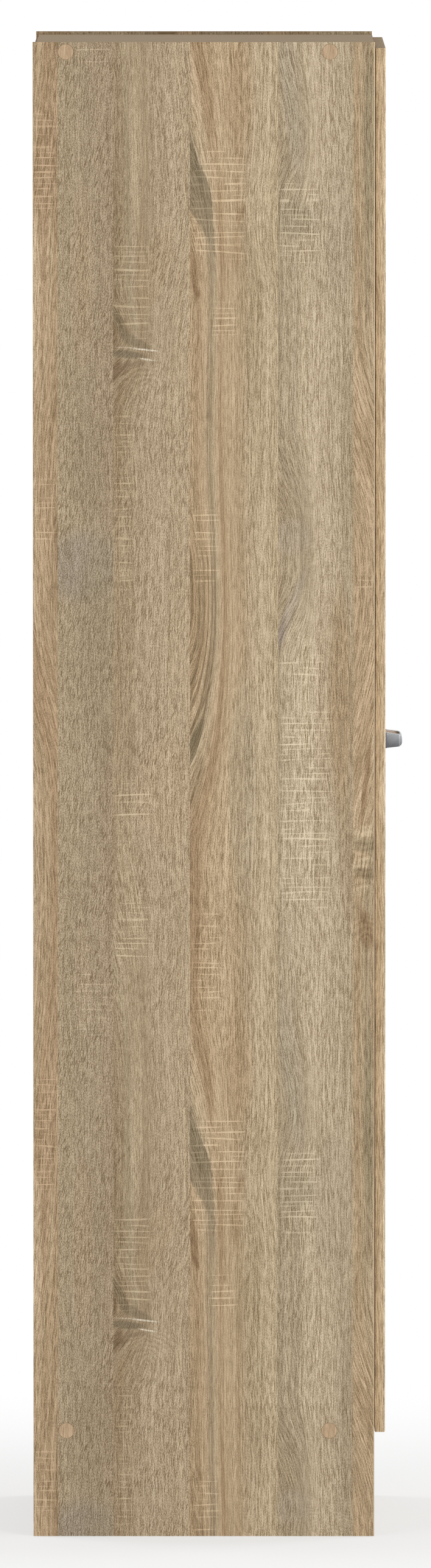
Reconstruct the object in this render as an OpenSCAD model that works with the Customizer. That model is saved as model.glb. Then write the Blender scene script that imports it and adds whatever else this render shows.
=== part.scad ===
// Tall pantry cabinet made of decor-faced particle board: two sides that run down to the
// floor, a top, a bottom and a fixed middle shelf between them, four loose shelves on pins,
// a thin back in two halves, and one overlay door on four concealed cup hinges.
// Millimetres. X runs across the cabinet, -Y is the front and +Z is up. The origin is on the
// floor, under the middle of the whole outline with its handle.

/* [Carcass] */
// Width over the two sides
body_w = 500; // [400:5:600]
// Height of the sides, which is the height of the cabinet
body_h = 2000; // [1800:10:2200]
// Depth of the sides with their front edging
side_d = 456; // [380:2:560]
// Thickness of the carcass boards and shelves
board_t = 18; // [16:1:22]
// Step from the tops of the sides down to the top panel
top_drop = 4; // [2:1:20]
// Height of the plinth board under the bottom panel
plinth_h = 133; // [100:1:160]
// Setback of the plinth behind the front of the sides
plinth_setback = 5; // [2:1:40]
// Thickness of the edging on the carcass and shelf fronts
edging_t = 1; // [0.4:0.1:2]

/* [Back] */
// Thickness of the two back boards
back_t = 3; // [2.5:0.5:4]
// Depth of the rebate that holds the back, measured from the back edge
rebate_d = 4; // [4:0.5:8]
// Width of the rebate, cut into the thickness of each side
rebate_w = 9; // [6:1:12]
// Step from the tops of the sides down to the back's top edge
back_drop = 7; // [6:1:20]
// Play of the back boards at their edges
back_play = 0.5; // [0.2:0.1:1]

/* [Door] */
// Thickness of the door board
door_t = 14; // [14:0.5:18]
// Gap between the closed door and the front of the sides
door_gap = 0.5; // [0.5:0.1:1.5]
// Distance of each long door edge inside the face of its side
door_reveal = 2; // [1:0.5:3]
// Step from the tops of the sides down to the door's top edge
door_drop = 8; // [6:1:20]
// Height of the door's lower edge above the floor
door_lift = 140; // [110:1:170]
// Thickness of the door's edging
door_edging_t = 2; // [1:0.5:3]
// Rounding of the door's edges
door_round = 1.5; // [0.5:0.5:2]

/* [Shelves] */
// Setback of the shelf fronts behind the front of the sides
shelf_setback = 20; // [15:1:40]
// Play of a loose shelf at each end and at the back
shelf_play = 1; // [0.5:0.5:2]
// Spacing of the pin holes
hole_pitch = 32; // [25:1:32]
// Diameter of the pin holes
hole_d = 5; // [5:1:6]
// Depth of the pin holes
hole_depth = 10; // [8:1:12]
// Distance of the front row of holes from the front of the sides
hole_front = 50; // [40:1:70]
// Distance of the back row of holes from the back of the sides
hole_back = 60; // [40:1:80]
// Length of a pin's tongue under the shelf
pin_tongue = 9; // [7:1:12]

/* [Fastenings] */
// Distance of the front connecting screws from the front of the sides
screw_front = 60; // [50:1:80]
// Distance of the back connecting screws from the back of the sides
screw_back = 44; // [35:1:60]
// Length of a connecting screw under its head
screw_l = 50; // [40:1:60]
// Diameter of a cover cap
cap_d = 21; // [14:1:24]
// Thickness of a cover cap
cap_t = 0.7; // [0.4:0.1:1.2]
// Diameter of the wooden dowels
dowel_d = 8; // [6:1:8]
// Length of the wooden dowels
dowel_l = 30; // [26:1:34]
// Diameter of the cam locks
cam_d = 15; // [12:1:16]
// Distance of a cam's centre from the end of its board
cam_in = 34; // [24:1:40]

/* [Handle] */
// Spacing of the handle's two screws
handle_pitch = 64; // [64:32:128]
// Projection of the handle from the door
handle_reach = 22.6; // [20:0.2:35]
// Height of the handle at its feet
handle_tall = 20.6; // [16:0.2:24]
// Width of each leg along the handle
handle_leg = 13; // [9:1:14]
// Thickness of the grip bar
handle_bar = 3.2; // [3:0.1:5]
// Distance of the handle's end from the door's free edge
handle_in = 26.5; // [20:0.5:60]
// Height of the handle's middle above the door's lower edge
handle_up = 926; // [700:1:1100]

/* [Hinges] */
// Diameter of a hinge cup
cup_d = 35; // [35:1:40]
// Depth of a hinge cup in the door
cup_depth = 11; // [11:0.5:12]
// Distance from the door's edge to the rim of a cup
cup_edge = 5; // [4:0.5:7]
// Length of a hinge arm behind the front of the side
arm_l = 66; // [60:1:80]
// Distance of the mounting plate's screws behind the front of the side
plate_in = 37; // [34:1:40]

/* [Hidden] */
$fn = 48;
eps = 0.01;
fit = 0.05;         // radial clearance round screws, dowels, cams and pins
cut = 1;            // how far a cutter runs past a face

inner_w = body_w - 2 * board_t;
whole_d = side_d + door_gap + door_t + handle_reach;
back_y = whole_d / 2;
front_y = back_y - side_d;
door_back_y = front_y - door_gap;
door_front_y = door_back_y - door_t;

floor_z = plinth_h + board_t;                 // top of the bottom panel
ceil_z = body_h - top_drop - board_t;         // underside of the top panel
bottom_mid = plinth_h + board_t / 2;
top_mid = ceil_z + board_t / 2;

// The hole grid starts at the bottom panel's face. The fixed shelf and the loose shelves
// take the grid lines nearest to an even division of the space.
function row_z(n) = floor_z + n * hole_pitch;
function row_near(z) = round((z - floor_z) / hole_pitch);
fixed_mid = row_z(row_near((floor_z + ceil_z) / 2));
fixed_z = fixed_mid - board_t / 2;
loose_per_half = 2;
pin_lift = hole_d / 2 + 0.4;                  // from a hole's axis up to the shelf
halves = [[floor_z, fixed_z], [fixed_z + board_t, ceil_z]];
function even_z(half, i) = half[0] + (i + 1) * (half[1] - half[0] - loose_per_half * board_t)
    / (loose_per_half + 1) + i * board_t;
loose_rows = [for (half = halves) for (i = [0 : loose_per_half - 1])
    row_near(even_z(half, i) - pin_lift)];
function shelf_z(k) = row_z(loose_rows[k]) + pin_lift;
// Each hinge sits at the middle of a compartment, clear of every shelf.
hinge_zs = [
    (floor_z + shelf_z(0)) / 2,
    (shelf_z(1) + board_t + fixed_z) / 2,
    (fixed_z + board_t + shelf_z(2)) / 2,
    (shelf_z(3) + board_t + ceil_z) / 2];

board_front_y = front_y + edging_t;           // front of a carcass board under its edging
board_back_y = back_y - rebate_d;             // back edge of the boards that meet the back
shelf_front_y = front_y + shelf_setback;
hole_ys = [front_y + hole_front, back_y - hole_back];
screw_ys = [front_y + screw_front, back_y - screw_back];
mid_y = (front_y + back_y) / 2;
dowel_ys = [mid_y - 60, mid_y + 60];
cam_ys = screw_ys;
plinth_y = board_front_y + plinth_setback - edging_t;
plinth_mid_y = plinth_y + board_t / 2;
plinth_dowel_z = plinth_h - 32;
plinth_cam_z = 40;
groups_rows = [for (r = loose_rows) for (n = [r - 1 : r + 1]) n];

screw_head_d = 10;
screw_head_l = 3.6;
screw_shank_d = 7;
screw_core_d = 5;
dowel_in_side = 12;
cam_l = 12.5;
bolt_d = 5;
bolt_shank_d = 6;
bolt_in_side = 9;

module board(x0, y0, z0, x1, y1, z1) {
    translate([x0, y0, z0]) cube([x1 - x0, y1 - y0, z1 - z0]);
}

// Puts a part on both sides: drawn for the right side, mirrored for the left.
module both_sides() {
    children();
    mirror([1, 0, 0]) children();
}

// A round bar along X that starts at x and runs towards +X.
module x_rod(x, y, z, d, l) {
    translate([x, y, z]) rotate([0, 90, 0]) cylinder(d = d, h = l);
}

// ---- Fastenings, drawn for the right side ----

module screw_holes() {
    side_x = body_w / 2;
    for (y = screw_ys) for (z = [bottom_mid, top_mid]) {
        x_rod(side_x - screw_head_l - fit, y, z, screw_head_d + 2 * fit, screw_head_l + cut);
        x_rod(inner_w / 2 - fit, y, z, screw_shank_d + 2 * fit, board_t);
        x_rod(side_x - screw_l - 2, y, z, screw_core_d + 2 * fit, screw_l);
    }
}

module dowel_holes() {
    l = dowel_l + 2;
    for (y = dowel_ys) for (z = [bottom_mid, fixed_mid, top_mid])
        x_rod(inner_w / 2 + dowel_in_side + 1 - l, y, z, dowel_d + 2 * fit, l);
    x_rod(inner_w / 2 + dowel_in_side + 1 - l, plinth_mid_y, plinth_dowel_z,
        dowel_d + 2 * fit, l);
}

module bolt_holes() {
    for (spot = [[cam_ys[0], fixed_mid], [cam_ys[1], fixed_mid], [plinth_mid_y, plinth_cam_z]]) {
        x_rod(inner_w / 2 - cut, spot[0], spot[1], bolt_d + 2 * fit, bolt_in_side + cut + 0.5);
        x_rod(inner_w / 2 - cam_in, spot[0], spot[1], bolt_shank_d + 2, cam_in + eps);
    }
}

module pin_holes() {
    for (n = groups_rows) for (y = hole_ys)
        x_rod(inner_w / 2 - eps, y, row_z(n), hole_d, hole_depth);
}

// ---- Carcass ----

// The right side. The bolts' shank holes stay in the boards that the bolts run into.
module side_form() {
    difference() {
        board(inner_w / 2, board_front_y, 0, body_w / 2, back_y, body_h);
        board(inner_w / 2 - cut, back_y - rebate_d, -cut, inner_w / 2 + rebate_w,
            back_y + cut, body_h + cut);
        screw_holes();
        dowel_holes();
        pin_holes();
        for (spot = [[cam_ys[0], fixed_mid], [cam_ys[1], fixed_mid],
            [plinth_mid_y, plinth_cam_z]])
            x_rod(inner_w / 2 - cut, spot[0], spot[1], bolt_d + 2 * fit,
                bolt_in_side + cut + 0.5);
    }
}

module left_side() {
    color("tan") mirror([1, 0, 0]) side_form();
}

module right_side() {
    color("tan") difference() {
        side_form();
        at_hinges() plate_screw_holes();
    }
}

module top_panel() {
    color("tan") difference() {
        board(-inner_w / 2, board_front_y, ceil_z, inner_w / 2, board_back_y,
            ceil_z + board_t);
        both_sides() {
            screw_holes();
            dowel_holes();
        }
    }
}

module bottom_panel() {
    color("tan") difference() {
        board(-inner_w / 2, board_front_y, plinth_h, inner_w / 2, board_back_y, floor_z);
        both_sides() {
            screw_holes();
            dowel_holes();
        }
    }
}

// Pockets for the cams of the fixed shelf, bored from below.
module shelf_cam_pockets(d, l) {
    for (y = cam_ys)
        translate([inner_w / 2 - cam_in, y, fixed_z - cut]) cylinder(d = d, h = l + cut);
}

module fixed_shelf() {
    color("tan") difference() {
        board(-inner_w / 2, shelf_front_y + edging_t, fixed_z, inner_w / 2, board_back_y,
            fixed_z + board_t);
        both_sides() {
            dowel_holes();
            bolt_holes();
            shelf_cam_pockets(cam_d + 2 * fit, cam_l + fit);
        }
    }
}

// The plinth's cams sit in its back face.
module plinth_cam_pocket(d, l) {
    translate([inner_w / 2 - cam_in, plinth_y + board_t + cut, plinth_cam_z])
        rotate([90, 0, 0]) cylinder(d = d, h = l + cut);
}

module plinth() {
    color("tan") difference() {
        board(-inner_w / 2, plinth_y, 0, inner_w / 2, plinth_y + board_t, plinth_h);
        both_sides() {
            dowel_holes();
            bolt_holes();
            plinth_cam_pocket(cam_d + 2 * fit, cam_l + fit);
        }
    }
}

module loose_shelf(k) {
    color("burlywood")
        board(-inner_w / 2 + shelf_play, shelf_front_y + edging_t, shelf_z(k),
            inner_w / 2 - shelf_play, board_back_y - shelf_play, shelf_z(k) + board_t);
}

// Edging strips on the fronts of the carcass boards.
module carcass_edging() {
    color("wheat") {
        both_sides()
            board(inner_w / 2, front_y, 0, body_w / 2, board_front_y, body_h);
        for (z = [plinth_h, ceil_z])
            board(-inner_w / 2, front_y, z, inner_w / 2, board_front_y, z + board_t);
    }
}

module shelf_edging() {
    color("wheat") {
        board(-inner_w / 2, shelf_front_y, fixed_z, inner_w / 2, shelf_front_y + edging_t,
            fixed_z + board_t);
        for (k = [0 : len(loose_rows) - 1])
            board(-inner_w / 2 + shelf_play, shelf_front_y, shelf_z(k),
                inner_w / 2 - shelf_play, shelf_front_y + edging_t, shelf_z(k) + board_t);
    }
}

// ---- Back ----

back_half_w = inner_w / 2 + rebate_w - back_play;
back_bottom = plinth_h + back_play;
back_top = body_h - back_drop;

module back_board(z0, z1) {
    color("peru")
        board(-back_half_w, board_back_y, z0, back_half_w, board_back_y + back_t, z1);
}

module back_lower() { back_board(back_bottom, fixed_mid - back_play); }

module back_upper() { back_board(fixed_mid + back_play, back_top); }

// ---- Connecting screws, dowels and cams ----

module connecting_screws() {
    side_x = body_w / 2;
    color("silver") both_sides()
        for (y = screw_ys) for (z = [bottom_mid, top_mid]) difference() {
            union() {
                x_rod(side_x - screw_head_l, y, z, screw_head_d, screw_head_l - 0.4);
                x_rod(inner_w / 2, y, z, screw_shank_d, board_t - screw_head_l);
                x_rod(side_x - screw_l, y, z, screw_core_d, screw_l - board_t + eps);
            }
            // hexagon socket in the head
            translate([side_x - 2.4, y, z]) rotate([0, 90, 0])
                cylinder(d = 4.6, h = 3, $fn = 6);
        }
}

module cover_caps() {
    color("burlywood") both_sides()
        for (y = screw_ys) for (z = [bottom_mid, top_mid])
            translate([body_w / 2, y, z]) rotate([0, 90, 0]) rotate_extrude() {
                square([cap_d / 2 - cap_t / 2, cap_t]);
                square([cap_d / 2, cap_t / 2]);
                translate([cap_d / 2 - cap_t / 2, cap_t / 2]) circle(d = cap_t);
            }
}

module dowels() {
    color("burlywood") both_sides() {
        for (y = dowel_ys) for (z = [bottom_mid, fixed_mid, top_mid])
            x_rod(inner_w / 2 + dowel_in_side - dowel_l, y, z, dowel_d, dowel_l);
        x_rod(inner_w / 2 + dowel_in_side - dowel_l, plinth_mid_y, plinth_dowel_z,
            dowel_d, dowel_l);
    }
}

// One cam: a drum with a radial mouth for the bolt's head and a cross slot in its face.
// The face is at the origin and the drum runs towards +Z, with its mouth towards +X.
module cam_lock() {
    difference() {
        cylinder(d = cam_d, h = cam_l);
        translate([-4, -bolt_shank_d / 2 - 1, board_t / 2 - bolt_shank_d / 2 - 1])
            cube([cam_d, bolt_shank_d + 2, cam_l]);
        for (a = [45, 135]) rotate([0, 0, a])
            translate([-4.5, -0.6, -cut]) cube([9, 1.2, 2 + cut]);
    }
}

module cam_locks() {
    color("silver") both_sides() {
        for (y = cam_ys)
            translate([inner_w / 2 - cam_in, y, fixed_z]) cam_lock();
        translate([inner_w / 2 - cam_in, plinth_y + board_t, plinth_cam_z])
            rotate([90, 0, 0]) cam_lock();
    }
}

module cam_bolt() {
    x_rod(-eps, 0, 0, bolt_d, bolt_in_side + eps);
    x_rod(-(cam_in - 4), 0, 0, bolt_shank_d - 1.5, cam_in - 4);
    x_rod(-6, 0, 0, bolt_shank_d, 6);
    x_rod(-(cam_in + 1), 0, 0, bolt_shank_d, 5);
}

module cam_bolts() {
    color("silver") both_sides() {
        for (y = cam_ys) translate([inner_w / 2, y, fixed_mid]) cam_bolt();
        translate([inner_w / 2, plinth_mid_y, plinth_cam_z]) cam_bolt();
    }
}

// A peg in the side with a collar and a flat tongue that the shelf lies on.
module shelf_pins() {
    collar_t = 1;
    tongue_w = 7;
    color("silver") both_sides()
        for (r = loose_rows) for (y = hole_ys) {
            z = row_z(r);
            x_rod(inner_w / 2 - eps, y, z, hole_d - 2 * fit, hole_depth - 1);
            x_rod(inner_w / 2 - collar_t, y, z - 1, hole_d + 2, collar_t);
            board(inner_w / 2 - pin_tongue, y - tongue_w / 2, z + pin_lift - 1.6,
                inner_w / 2 - collar_t + eps, y + tongue_w / 2, z + pin_lift);
        }
}

// ---- Door ----

door_x = body_w / 2 - door_reveal;
door_top = body_h - door_drop;

// A bar along the third axis with a rounded section, as a plain section.
module round_section(w, h, r) {
    translate([r, 0]) square([w - 2 * r, h]);
    translate([0, r]) square([w, h - 2 * r]);
    for (x = [r, w - r]) for (y = [r, h - r]) translate([x, y]) circle(r = r);
}

module door_form() {
    intersection() {
        translate([-door_x, door_front_y, door_lift])
            linear_extrude(door_top - door_lift)
                round_section(2 * door_x, door_t, door_round);
        translate([-door_x, door_front_y, door_lift]) rotate([90, 0, 90])
            linear_extrude(2 * door_x)
                round_section(door_t, door_top - door_lift, door_round);
    }
}

module door_core() {
    board(-door_x + door_edging_t, door_front_y - cut, door_lift + door_edging_t,
        door_x - door_edging_t, door_back_y + cut, door_top - door_edging_t);
}

module door_panel() {
    color("tan") difference() {
        intersection() {
            door_form();
            door_core();
        }
        at_hinges() cup_recess();
        at_handle_screws() translate([0, 0, -cut]) cylinder(d = 4.4, h = door_t + 2 * cut);
    }
}

module door_edging() {
    color("wheat") difference() {
        door_form();
        door_core();
    }
}

// ---- Handle, drawn with its back on the door: x along the grip, y out of the door ----

handle_half = handle_pitch / 2 + handle_leg / 2;
handle_x = -door_x + handle_in + handle_half;
handle_z = door_lift + handle_up;

module at_handle() {
    translate([handle_x, door_front_y, handle_z]) rotate([0, 0, 180]) children();
}

// Plan of the bow: round outer corners, and an opening that reaches the door.
module handle_plan() {
    outer_r = 5;
    inner_r = 8;
    inner_half = handle_pitch / 2 - handle_leg / 2;
    difference() {
        union() {
            translate([-handle_half, 0]) square([2 * handle_half, handle_reach - outer_r]);
            translate([-handle_half + outer_r, 0])
                square([2 * (handle_half - outer_r), handle_reach]);
            for (s = [-1, 1])
                translate([s * (handle_half - outer_r), handle_reach - outer_r])
                    circle(r = outer_r);
        }
        translate([-inner_half, -cut])
            square([2 * inner_half, handle_reach - handle_bar - inner_r + cut]);
        translate([-inner_half + inner_r, -cut])
            square([2 * (inner_half - inner_r), handle_reach - handle_bar + cut]);
        for (s = [-1, 1])
            translate([s * (inner_half - inner_r), handle_reach - handle_bar - inner_r])
                circle(r = inner_r);
    }
}

// Side outline of the bow: it narrows outwards and its front is well rounded.
module handle_outline() {
    r = 6.5;
    narrowing = 2;
    half = handle_tall / 2;
    tip = half - narrowing;
    polygon([[0, -half], [handle_reach - r, -tip], [handle_reach - r, tip], [0, half]]);
    for (s = [-1, 1]) translate([handle_reach - r, s * (tip - r)]) circle(r = r);
    translate([handle_reach - r, r - tip]) square([r, 2 * (tip - r)]);
}

// A slab on the door with rounded corners, centred on x and the handle's middle height.
module handle_slab(x, w, h, depth, r) {
    translate([x - w / 2, depth, -h / 2]) rotate([90, 0, 0])
        linear_extrude(depth) round_section(w, h, r);
}

module handle() {
    foot_t = 2;
    foot_rim = 0.25;
    edge_r = 3;
    color("silver") at_handle() difference() {
        union() {
            intersection() {
                translate([0, 0, -handle_tall]) linear_extrude(2 * handle_tall) handle_plan();
                translate([-handle_half, 0, 0]) rotate([90, 0, 90])
                    linear_extrude(2 * handle_half) handle_outline();
                handle_slab(0, 2 * handle_half, handle_tall, handle_reach, edge_r);
            }
            for (s = [-1, 1])
                handle_slab(s * handle_pitch / 2, handle_leg + 2 * foot_rim,
                    handle_tall + 2 * foot_rim, foot_t, edge_r);
        }
        for (s = [-1, 1]) translate([s * handle_pitch / 2, -cut, 0]) rotate([-90, 0, 0])
            cylinder(d = 4 + 2 * fit, h = 12 + cut);
    }
}

// Places a screw with its axis out of the door's back face, running to the front.
module at_handle_screws() {
    for (s = [-1, 1])
        translate([handle_x + s * handle_pitch / 2, door_back_y, handle_z])
            rotate([90, 0, 0]) children();
}

module cross_recess(d, h) {
    for (a = [0, 90]) rotate([0, 0, a])
        translate([-d / 2, -d / 8, -h]) cube([d, d / 4, h + cut]);
}

module handle_screws() {
    head_l = 2.2;
    color("silver") at_handle_screws() {
        difference() {
            translate([0, 0, -head_l]) cylinder(d = 8, h = head_l);
            translate([0, 0, -head_l]) mirror([0, 0, 1]) cross_recess(4, 1.2);
        }
        translate([0, 0, -eps]) cylinder(d = 4, h = door_t + 10);
    }
}

// ---- Hinges ----
// Drawn in the plan of the corner between the side and its front plane: x runs inwards from
// the side's inner face, y runs forwards from the front of the side, z along the pins.

module at_hinges() {
    for (z = hinge_zs) translate([inner_w / 2, front_y, z]) rotate([0, 0, 180]) children();
}

cup_u = cup_edge + cup_d / 2 - (board_t - door_reveal);   // middle of the cup
cup_v = door_gap;                                         // plane of the cup's mouth

// Pivots with the door shut: two on the arm and two in the cup.
arm_pivot_1 = [17.6, -2.9];
arm_pivot_2 = [17.6, 6.6];
cup_pivot_1 = [cup_u - 10.65, cup_v + 2.6];
cup_pivot_2 = [cup_u - 8.3, cup_v + 5.6];

pivot_r = 1;          // radius of the pivot pins
eye_r = 1.95;         // radius of a link round its pivot
link_r = 1.4;         // half width of a link between its pivots
swing_play = 1.35;    // clearance of the inner link round its pin in the cup
cavity_w = 14;        // width of the cup's cavity along the pins
ear_in = 4.3;         // the arm's walls lie between these two distances
ear_out = 5.3;
plate_in_z = 5.5;     // and the outer link's plates between these
plate_out_z = 6.5;

// A bar with round ends between two points of the plan.
module bar_2d(p, q, r) {
    d = q - p;
    translate(p) circle(r = r);
    translate(q) circle(r = r);
    translate(p) rotate(atan2(d[1], d[0])) translate([0, -r]) square([norm(d), 2 * r]);
}

// A slab of a plan shape between two heights, on both sides of the middle plane.
module mirrored_slab(z0, z1) {
    for (s = [0, 1]) mirror([0, 0, s]) translate([0, 0, z0]) linear_extrude(z1 - z0) children();
}

module pivot_hole(p, r = pivot_r + fit, half = 12) {
    translate([p[0], p[1], -half]) cylinder(r = r, h = 2 * half);
}

// Places a shape with +z into the door, on the door's back face.
module on_door(u, z) {
    translate([u, cup_v, z]) rotate([-90, 0, 0]) children();
}

cup_screw_u = cup_u + 9.5;
cup_screw_z = 22.5;
wing_t = 1.2;

module cup_recess() {
    on_door(cup_u, 0) translate([0, 0, -cut])
        cylinder(d = cup_d + 2 * fit, h = cup_depth + fit + cut);
    for (s = [-1, 1]) on_door(cup_screw_u, s * cup_screw_z) translate([0, 0, -cut])
        cylinder(d = 3.5 + 2 * fit, h = 11 + cut);
}

// The cup: a drum with a slot-like cavity, and two wings screwed to the door's back.
module hinge_cup() {
    wall = 1;
    floor_t = 1;
    wing_r = 5.5;
    difference() {
        union() {
            on_door(cup_u, 0) cylinder(d = cup_d, h = cup_depth);
            intersection() {
                translate([0, cup_v, 0]) rotate([90, 0, 0]) linear_extrude(wing_t) {
                    translate([cup_u, 0]) circle(d = cup_d);
                    translate([cup_screw_u - wing_r, -cup_screw_z])
                        square([2 * wing_r, 2 * cup_screw_z]);
                    for (s = [-1, 1]) translate([cup_screw_u, s * cup_screw_z])
                        circle(r = wing_r);
                }
                translate([1, -cut * 10, -50]) cube([50, 20, 100]);
            }
        }
        intersection() {
            translate([cup_u, cup_v - wing_t - cut, 0]) rotate([-90, 0, 0])
                cylinder(d = cup_d - 2 * wall, h = cup_depth - floor_t + wing_t + cut);
            translate([cup_u - cup_d, -20, -cavity_w / 2]) cube([2 * cup_d, 40, cavity_w]);
        }
        for (s = [-1, 1]) on_door(cup_screw_u, s * cup_screw_z)
            translate([0, 0, -5]) cylinder(d = 3.5 + 2 * fit, h = 5 + cut);
        pivot_hole(cup_pivot_1, half = cavity_w / 2 + 2);
        pivot_hole(cup_pivot_2, half = cavity_w / 2 + 2);
    }
}

module hinge_cups() { color("silver") at_hinges() hinge_cup(); }

module cup_screws() {
    color("silver") at_hinges()
        for (s = [-1, 1]) on_door(cup_screw_u, s * cup_screw_z) difference() {
            union() {
                translate([0, 0, -wing_t - 1.8]) cylinder(d = 6.5, h = 1.8);
                translate([0, 0, -wing_t - eps]) cylinder(d = 3.5, h = wing_t + 10.5);
            }
            translate([0, 0, -wing_t - 1.8]) mirror([0, 0, 1]) cross_recess(3.4, 1);
        }
}

// Pins in the cup: two short ones for the outer link and a through one for the inner link.
module cup_pins() {
    half = cavity_w / 2 + 1.8;
    color("silver") at_hinges() {
        translate([cup_pivot_2[0], cup_pivot_2[1], -half])
            cylinder(r = pivot_r, h = 2 * half);
        mirrored_slab(plate_in_z, half) translate(cup_pivot_1) circle(r = pivot_r);
    }
}

// The arm: a channel whose walls reach forwards into the cup and carry the links.
module arm_wall_2d() {
    polygon([
        [plate_rise, -arm_l], [plate_rise, -20], [9, -9], [arm_pivot_1[0] - 2, -4.4],
        [arm_pivot_1[0] + 2, -2.7], [arm_top, -8], [arm_top, -arm_l]]);
    bar_2d(arm_pivot_1, arm_pivot_2, 2);
}

plate_rise = 2.2;     // thickness of the mounting plate's base
arm_top = 19.8;       // outer face of the arm's web
arm_web = 1.3;

module hinge_arms() {
    color("silver") at_hinges() difference() {
        union() {
            mirrored_slab(ear_in, ear_out) arm_wall_2d();
            translate([arm_top - arm_web, -arm_l, -ear_out])
                cube([arm_web, arm_l - 9, 2 * ear_out]);
        }
        pivot_hole(arm_pivot_1);
        pivot_hole(arm_pivot_2);
        translate([0, -plate_in - 14, 0]) rotate([0, 90, 0]) cylinder(d = 5.2, h = 30);
    }
}

module arm_pins() {
    color("silver") at_hinges() {
        translate([arm_pivot_2[0], arm_pivot_2[1], -ear_out])
            cylinder(r = pivot_r, h = 2 * ear_out);
        mirrored_slab(ear_in, plate_out_z) translate(arm_pivot_1) circle(r = pivot_r);
    }
}

// The mounting plate: a base with two screw wings, and a rail between the arm's walls.
module hinge_plates() {
    rail_half = ear_in - 0.2;
    rail_h = 12;
    color("silver") at_hinges() difference() {
        union() {
            translate([0, -arm_l, -9]) cube([plate_rise, arm_l - 18, 18]);
            rotate([0, 90, 0]) linear_extrude(plate_rise)
                bar_2d([-16, -plate_in], [16, -plate_in], 6.5);
            translate([0, -arm_l, -rail_half]) cube([rail_h, arm_l - 18, 2 * rail_half]);
        }
        for (s = [-1, 1]) translate([-cut, -plate_in, s * 16]) rotate([0, 90, 0])
            cylinder(d = 3.5 + 2 * fit, h = plate_rise + 2 * cut);
        translate([3, -plate_in - 14, 0]) rotate([0, 90, 0])
            cylinder(d = 4 + 2 * fit, h = rail_h);
    }
}

module plate_screw_holes() {
    for (s = [-1, 1]) translate([-12, -plate_in, s * 16]) rotate([0, 90, 0])
        cylinder(d = 3.5 + 2 * fit, h = 12 + cut);
}

module plate_screws() {
    head_l = 1.8;
    color("silver") at_hinges() for (s = [-1, 1])
        translate([plate_rise, -plate_in, s * 16]) rotate([0, 90, 0]) difference() {
            union() {
                cylinder(d = 6.5, h = head_l);
                translate([0, 0, -plate_rise - 11]) cylinder(d = 3.5, h = plate_rise + 11 + eps);
            }
            translate([0, 0, head_l]) cross_recess(3.4, 1);
        }
}

// One screw per hinge fixes the arm to the rail of its plate.
module arm_screws() {
    head_l = 2;
    color("silver") at_hinges()
        translate([arm_top, -plate_in - 14, 0]) rotate([0, 90, 0]) difference() {
            union() {
                cylinder(d = 7.5, h = head_l);
                translate([0, 0, -14]) cylinder(d = 4, h = 14 + eps);
            }
            translate([0, 0, head_l]) cross_recess(4, 1.2);
        }
}

// Each link has a knee, so that it passes over the cup's rim when the door is wide open.
function knee(q, p, along, aside) = let (d = (p - q) / norm(p - q))
    q + along * d + aside * [-d[1], d[0]];
outer_knee = knee(cup_pivot_1, arm_pivot_1, 6, 2.8);
inner_knee = knee(cup_pivot_2, arm_pivot_2, 8, 0.8);

module link_2d(q, k, p, q_eye) {
    bar_2d(q, k, link_r);
    bar_2d(k, p, link_r);
    translate(q) circle(r = q_eye);
    translate(p) circle(r = eye_r);
}

// Two plates joined by a web, which lies between the arm's pin and the knee.
module outer_links() {
    web_at = 7.6;
    web_w = 2.8;
    web_t = 1.2;
    lean = arm_pivot_1 - outer_knee;
    color("silver") at_hinges() difference() {
        union() {
            mirrored_slab(plate_in_z, plate_out_z)
                link_2d(cup_pivot_1, outer_knee, arm_pivot_1, eye_r);
            translate([arm_pivot_1[0], arm_pivot_1[1], -plate_out_z])
                rotate([0, 0, atan2(lean[1], lean[0])])
                    translate([-web_at - web_w, -link_r, 0])
                        cube([web_w, web_t, 2 * plate_out_z]);
        }
        pivot_hole(arm_pivot_1);
        pivot_hole(cup_pivot_1);
    }
}

module inner_links() {
    half = ear_in - 0.3;
    color("silver") at_hinges() difference() {
        translate([0, 0, -half]) linear_extrude(2 * half)
            link_2d(cup_pivot_2, inner_knee, arm_pivot_2, pivot_r + swing_play + 0.9);
        pivot_hole(arm_pivot_2);
        pivot_hole(cup_pivot_2, pivot_r + swing_play);
    }
}

left_side();
right_side();
top_panel();
bottom_panel();
fixed_shelf();
plinth();
loose_shelf(0);  // loose_shelf_1
loose_shelf(1);  // loose_shelf_2
loose_shelf(2);  // loose_shelf_3
loose_shelf(3);  // loose_shelf_4
carcass_edging();
shelf_edging();
back_lower();
back_upper();
connecting_screws();
cover_caps();
dowels();
cam_locks();
cam_bolts();
shelf_pins();
door_panel();
door_edging();
handle();
handle_screws();
hinge_cups();
cup_screws();
cup_pins();
hinge_arms();
arm_pins();
hinge_plates();
plate_screws();
arm_screws();
outer_links();
inner_links();
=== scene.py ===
"""A tall pantry cabinet in sawn light oak decor: its finishes, its nails and the studio."""

import math

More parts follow.
